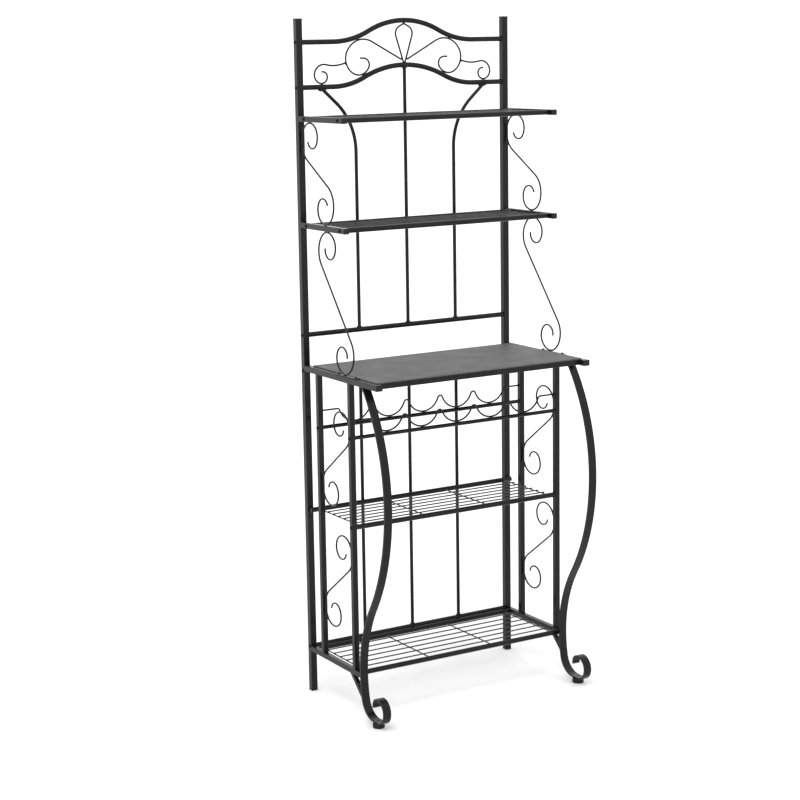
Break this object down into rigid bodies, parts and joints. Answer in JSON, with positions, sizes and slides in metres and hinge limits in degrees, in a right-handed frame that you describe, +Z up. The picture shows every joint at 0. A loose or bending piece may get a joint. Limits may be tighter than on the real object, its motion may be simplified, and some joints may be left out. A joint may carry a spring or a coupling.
{
  "type": "bakers rack",
  "caption": "Free-standing scrolled steel kitchen rack with arched back, open upper shelves, flat worktop, bottle cradles, lower wire shelves and bowed front legs.",
  "frame": {"origin": "middle of the floor outline, on the floor", "axes": "+X to the right seen from the front, +Y to the rear, +Z up"},
  "size_m": [0.6388, 0.406, 1.727],
  "materials": {
    "frame": "satin black powder coat",
    "worktop": "satin dark grey powder coat",
    "plastic": "moulded black",
    "hardware": "black oxide"
  },
  "bodies": {
    "frame": {"bottom_front_rail": "frame", "bottom_left_rail": "frame", "bottom_rear_rail": "frame", "bottom_right_rail": "frame", "bottom_shelf_wires": "frame", "crest_end_scrolls": "frame", "crest_scrolls": "frame", "crest_teardrop": "frame", "foot_nuts": "hardware", "frame_bolts": "hardware", "left_curved_bar": "frame", "left_front_leg": "frame", "left_front_post": "frame", "left_mid_post": "frame", "left_rear_post": "frame", "leg_braces": "frame", "lower_arch_rail": "frame", "lower_panel_bars": "frame", "lower_panel_bottom_rail": "frame", "lower_panel_top_rail": "frame", "lower_side_scrolls": "frame", "mid_shelf_front_rail": "frame", "mid_shelf_rear_rail": "frame", "mid_shelf_wires": "frame", "panel_center_bar": "frame", "panel_lower_rail": "frame", "rear_post_plugs": "plastic", "right_curved_bar": "frame", "right_front_leg": "frame", "right_front_post": "frame", "right_mid_post": "frame", "right_rear_post": "frame", "scroll_feet": "frame", "scroll_screws": "hardware", "second_shelf_left_bar": "frame", "second_shelf_rails": "frame", "second_shelf_right_bar": "frame", "second_shelf_scrolls": "frame", "second_shelf_wires": "frame", "shelf_bar_caps": "plastic", "table_front_rail": "frame", "table_left_rail": "frame", "table_panel": "worktop", "table_rail_caps": "plastic", "table_rear_rail": "frame", "table_right_rail": "frame", "top_shelf_left_bar": "frame", "top_shelf_rails": "frame", "top_shelf_right_bar": "frame", "top_shelf_scrolls": "frame", "top_shelf_wires": "frame", "upper_arch_rail": "frame", "upper_side_scrolls": "frame", "wine_rails": "frame", "wine_wave_wires": "frame"},
    "left_pad": {"left_foot_pad": "plastic"},
    "left_stud": {"left_foot_stud": "hardware"},
    "right_pad": {"right_foot_pad": "plastic"},
    "right_stud": {"right_foot_stud": "hardware"}
  },
  "joints": [
    {"name": "left_foot_height", "type": "slide", "parent": "frame", "child": "left_pad", "axis": [0, 0, -1], "range_m": [0, 0.004]},
    {"name": "left_stud_turn", "type": "hinge", "parent": "left_pad", "child": "left_stud", "pos_m": [-0.3044, -0.139, 0.012], "axis": [0, 0, -1], "range_deg": [0, 1152]},
    {"name": "right_foot_height", "type": "slide", "parent": "frame", "child": "right_pad", "axis": [0, 0, -1], "range_m": [0, 0.004]},
    {"name": "right_stud_turn", "type": "hinge", "parent": "right_pad", "child": "right_stud", "pos_m": [0.3044, -0.139, 0.012], "axis": [0, 0, -1], "range_deg": [0, 1152]}
  ],
  "couplings": [
    {"joint": "left_stud_turn", "follows": "left_foot_height", "rad_per_m": 5026.5},
    {"joint": "right_stud_turn", "follows": "right_foot_height", "rad_per_m": 5026.5}
  ]
}
